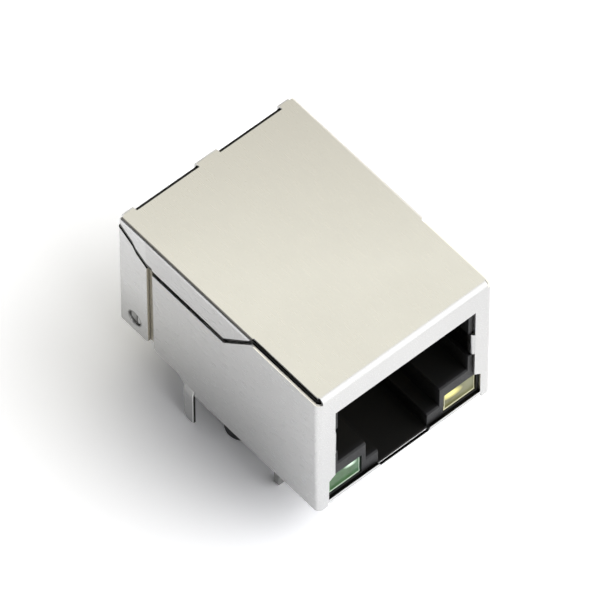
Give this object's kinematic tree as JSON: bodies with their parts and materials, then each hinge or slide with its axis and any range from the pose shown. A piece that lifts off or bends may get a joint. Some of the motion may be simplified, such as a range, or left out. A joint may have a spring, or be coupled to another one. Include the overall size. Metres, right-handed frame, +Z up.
{
  "type": "shielded rj45 board jack",
  "caption": "Shielded right-angle network jack for a circuit board, tab down, with a lamp in each lower corner and magnetics behind the plug cavity.",
  "frame": {"origin": "on the board's surface, midway between the two locating pegs", "axes": "+Z up from the board, -Y out of the plug opening, +X to the right seen from behind the jack and towards the yellow lamp"},
  "size_m": [0.0162, 0.0212, 0.0164],
  "materials": {
    "plated_steel": "nickel plated, satin",
    "black_plastic": "moulded, matte",
    "green_lens": "tinted, clear moulded",
    "yellow_lens": "tinted, clear moulded",
    "tinned_lead": "tin plated, satin",
    "gold_contact": "gold plated, bright",
    "board": "glass-filled resin board",
    "ferrite": "sintered, dark",
    "copper_wire": "enamelled",
    "resistor_body": "glazed, dark",
    "capacitor_body": "fired ceramic, tan"
  },
  "bodies": {
    "root": {"shield": "plated_steel", "housing": "black_plastic", "terminal_block": "black_plastic", "circuit_board": "board", "left_lamp": "green_lens", "right_lamp": "yellow_lens", "capacitor": "capacitor_body", "left_lamp_inner_lead": "tinned_lead", "left_lamp_outer_lead": "tinned_lead", "right_lamp_inner_lead": "tinned_lead", "right_lamp_outer_lead": "tinned_lead", "contact_1": "gold_contact", "pin_1": "tinned_lead", "contact_2": "gold_contact", "pin_2": "tinned_lead", "contact_3": "gold_contact", "pin_3": "tinned_lead", "contact_4": "gold_contact", "pin_4": "tinned_lead", "contact_5": "gold_contact", "pin_5": "tinned_lead", "contact_6": "gold_contact", "pin_6": "tinned_lead", "contact_7": "gold_contact", "pin_7": "tinned_lead", "contact_8": "gold_contact", "pin_8": "tinned_lead", "coil_core_1": "ferrite", "coil_winding_1": "copper_wire", "resistor_1": "resistor_body", "coil_core_2": "ferrite", "coil_winding_2": "copper_wire", "resistor_2": "resistor_body", "coil_core_3": "ferrite", "coil_winding_3": "copper_wire", "resistor_3": "resistor_body", "coil_core_4": "ferrite", "coil_winding_4": "copper_wire", "resistor_4": "resistor_body"}
  },
  "joints": []
}
